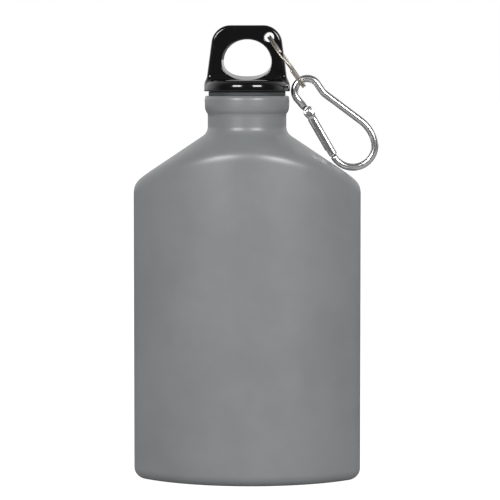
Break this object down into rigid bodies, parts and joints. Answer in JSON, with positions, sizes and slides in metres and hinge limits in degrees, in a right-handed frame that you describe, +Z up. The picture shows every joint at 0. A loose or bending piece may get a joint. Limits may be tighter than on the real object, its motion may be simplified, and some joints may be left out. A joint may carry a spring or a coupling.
{
  "type": "drinking flask",
  "caption": "Flat aluminium drinking flask with a screw stopper, a finger loop, a split ring and a small keychain carabiner.",
  "frame": {"origin": "centre of the flask's base, on the surface that it stands on", "axes": "+X across the width towards the side where the carabiner hangs, +Y through the depth, +Z up"},
  "size_m": [0.1077, 0.056, 0.2],
  "materials": {
    "shell_paint": "matte grey coat",
    "insert_aluminium": "machined",
    "washer_rubber": "matte dark grey silicone",
    "cap_plastic": "glossy black moulding",
    "plug_plastic": "black moulding",
    "ring_nickel": "nickel plate",
    "clip_metal": "polished",
    "rivet_steel": "plain"
  },
  "bodies": {
    "flask": {"flask_body": "shell_paint", "neck_insert": "insert_aluminium"},
    "washer": {"sealing_washer": "washer_rubber"},
    "stopper": {"stopper_cap": "cap_plastic", "stopper_plug": "plug_plastic", "plug_disc": "plug_plastic"},
    "ring": {"split_ring": "ring_nickel"},
    "carabiner": {"carabiner_frame": "clip_metal", "gate_rivet": "rivet_steel"},
    "gate": {"carabiner_gate": "clip_metal", "gate_spring": "rivet_steel", "spring_plunger": "rivet_steel"}
  },
  "joints": [
    {"name": "stopper_lift", "type": "slide", "parent": "flask", "child": "washer", "axis": [0, 0, 1], "range_m": [0, 0.012]},
    {"name": "stopper_turn", "type": "hinge", "parent": "washer", "child": "stopper", "pos_m": [0, 0, 0.1711], "axis": [0, 0, 1], "range_deg": [0, 1080]},
    {"name": "ring_swing", "type": "hinge", "parent": "stopper", "child": "ring", "pos_m": [0.0098, 0, 0.1948], "axis": [0, -1, 0], "range_deg": [0, 110]},
    {"name": "carabiner_swing", "type": "hinge", "parent": "ring", "child": "carabiner", "pos_m": [0.0264, 0, 0.17127], "axis": [0, -1, 0], "range_deg": [0, 75]},
    {"name": "gate_open", "type": "hinge", "parent": "carabiner", "child": "gate", "pos_m": [0.02698, 0, 0.16206], "axis": [0, -1, 0], "range_deg": [0, 28], "stiffness_Nm_per_rad": 0.05, "springref_deg": -28.65}
  ],
  "couplings": [
    {"joint": "stopper_lift", "follows": "stopper_turn", "m_per_rad": 0.00063662}
  ]
}
